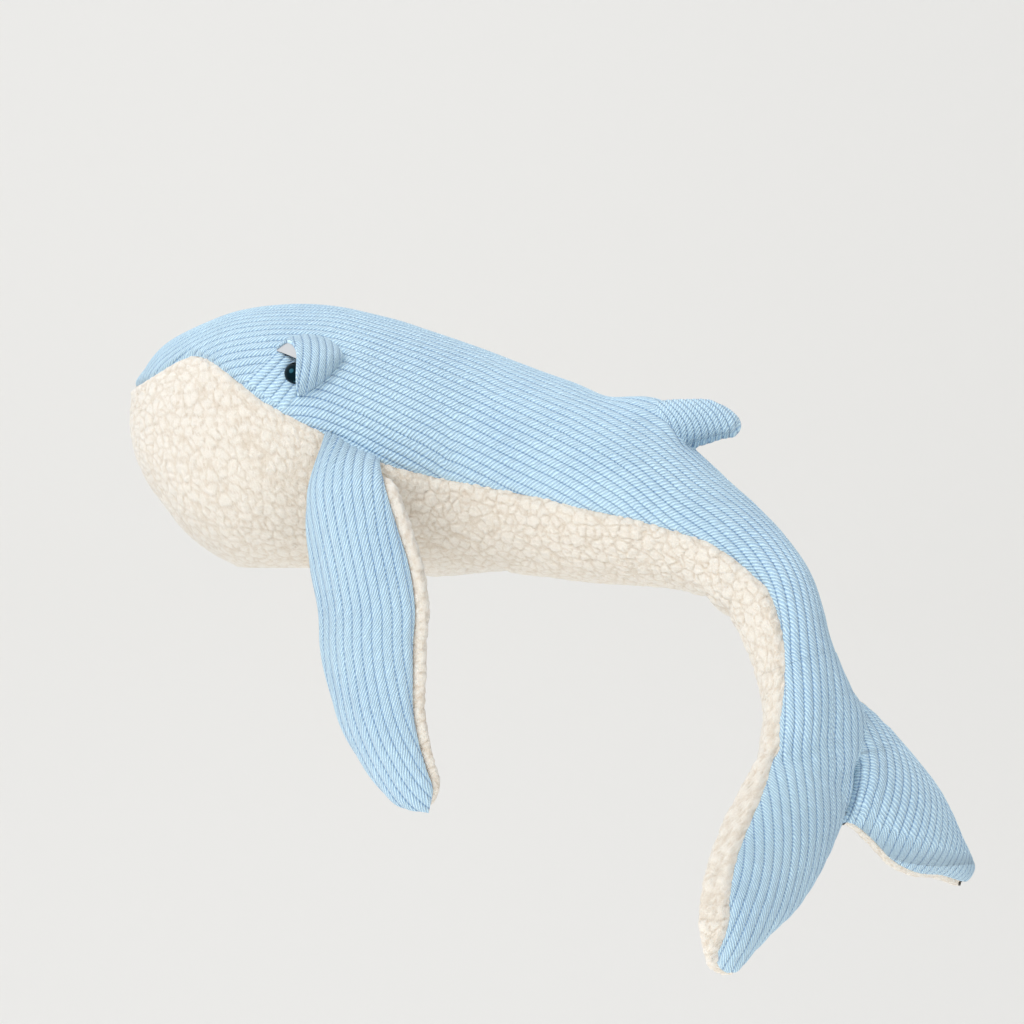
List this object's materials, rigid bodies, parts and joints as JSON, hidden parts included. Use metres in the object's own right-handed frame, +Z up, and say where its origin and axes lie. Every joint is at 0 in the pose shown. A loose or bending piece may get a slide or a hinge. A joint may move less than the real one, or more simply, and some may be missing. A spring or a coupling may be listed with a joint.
{
  "type": "plush whale",
  "caption": "Stuffed whale with a ribbed knit back, curly pile belly, hanging side fin, small back fin and two-lobed tail that droops over an edge, with glossy lidded eyes.",
  "frame": {"origin": "on the plane that the belly rests on, under the middle of the trunk", "axes": "+X from the nose towards the tail, +Z up, the whale's left side towards -Y"},
  "size_m": [0.6616, 0.4998, 0.498],
  "materials": {
    "knit": "ribbed knit with a matte, slightly fuzzy surface",
    "pile": "curly pile in small nubs",
    "fibre": "loose fibre filling",
    "eye_gloss": "high gloss",
    "washer_plastic": "plain moulded"
  },
  "bodies": {
    "trunk": {"left_back_panel": "knit", "right_back_panel": "knit", "belly_panel": "pile", "trunk_stuffing": "fibre", "left_eye_patch": "knit", "left_eye": "eye_gloss", "left_eye_washer": "washer_plastic", "left_eyelid": "knit", "right_eye_patch": "knit", "right_eye": "eye_gloss", "right_eye_washer": "washer_plastic", "right_eyelid": "knit", "left_fin_root": "knit", "right_fin_root": "knit", "back_fin_root": "knit", "tail_root_bend": "knit"},
    "tail_upper": {"tail_upper_left_back": "knit", "tail_upper_right_back": "knit", "tail_upper_belly": "pile", "tail_upper_stuffing": "fibre", "tail_stock_bend": "knit"},
    "tail_lower": {"tail_lower_left_back": "knit", "tail_lower_right_back": "knit", "tail_lower_belly": "pile", "tail_lower_stuffing": "fibre", "left_fluke_root": "knit", "right_fluke_root": "knit"},
    "left_fluke": {"left_fluke_top": "knit", "left_fluke_underside": "pile", "left_fluke_stuffing": "fibre"},
    "right_fluke": {"right_fluke_top": "knit", "right_fluke_underside": "pile", "right_fluke_stuffing": "fibre"},
    "left_fin": {"left_fin_outer": "knit", "left_fin_lining": "pile", "left_fin_stuffing": "fibre"},
    "right_fin": {"right_fin_outer": "knit", "right_fin_lining": "pile", "right_fin_stuffing": "fibre"},
    "back_fin": {"back_fin_left_side": "knit", "back_fin_right_side": "knit", "back_fin_stuffing": "fibre"}
  },
  "joints": [
    {"name": "tail_root", "type": "hinge", "parent": "trunk", "child": "tail_upper", "pos_m": [0.2329, -0.0897, 0.0301], "axis": [-0.391, -0.912, 0.1236], "range_deg": [-25, 20], "deforming": ["tail_root_bend"]},
    {"name": "tail_stock", "type": "hinge", "parent": "tail_upper", "child": "tail_lower", "pos_m": [0.2932, -0.1364, -0.0381], "axis": [-0.4958, -0.8612, 0.1122], "range_deg": [-25, 30], "deforming": ["tail_stock_bend"]},
    {"name": "left_fluke_flex", "type": "hinge", "parent": "tail_lower", "child": "left_fluke", "pos_m": [0.3059, -0.1648, -0.1587], "axis": [-0.7975, -0.3161, 0.5139], "range_deg": [-20, 20], "deforming": ["left_fluke_root"]},
    {"name": "right_fluke_flex", "type": "hinge", "parent": "tail_lower", "child": "right_fluke", "pos_m": [0.3434, -0.1413, -0.1494], "axis": [-0.3202, -0.4386, -0.8397], "range_deg": [-20, 20], "deforming": ["right_fluke_root"]},
    {"name": "left_fin_lift", "type": "hinge", "parent": "trunk", "child": "left_fin", "pos_m": [-0.0348, -0.108, 0.0876], "axis": [-1, 0, 0], "range_deg": [0, 80], "deforming": ["left_fin_root"]},
    {"name": "right_fin_lift", "type": "hinge", "parent": "trunk", "child": "right_fin", "pos_m": [-0.0352, 0.1075, 0.0873], "axis": [1, 0, 0], "range_deg": [0, 60], "deforming": ["right_fin_root"]},
    {"name": "back_fin_lean", "type": "hinge", "parent": "trunk", "child": "back_fin", "pos_m": [0.2135, -0.0689, 0.1039], "axis": [0.7322, -0.3866, -0.5608], "range_deg": [-20, 20], "deforming": ["back_fin_root"]}
  ]
}
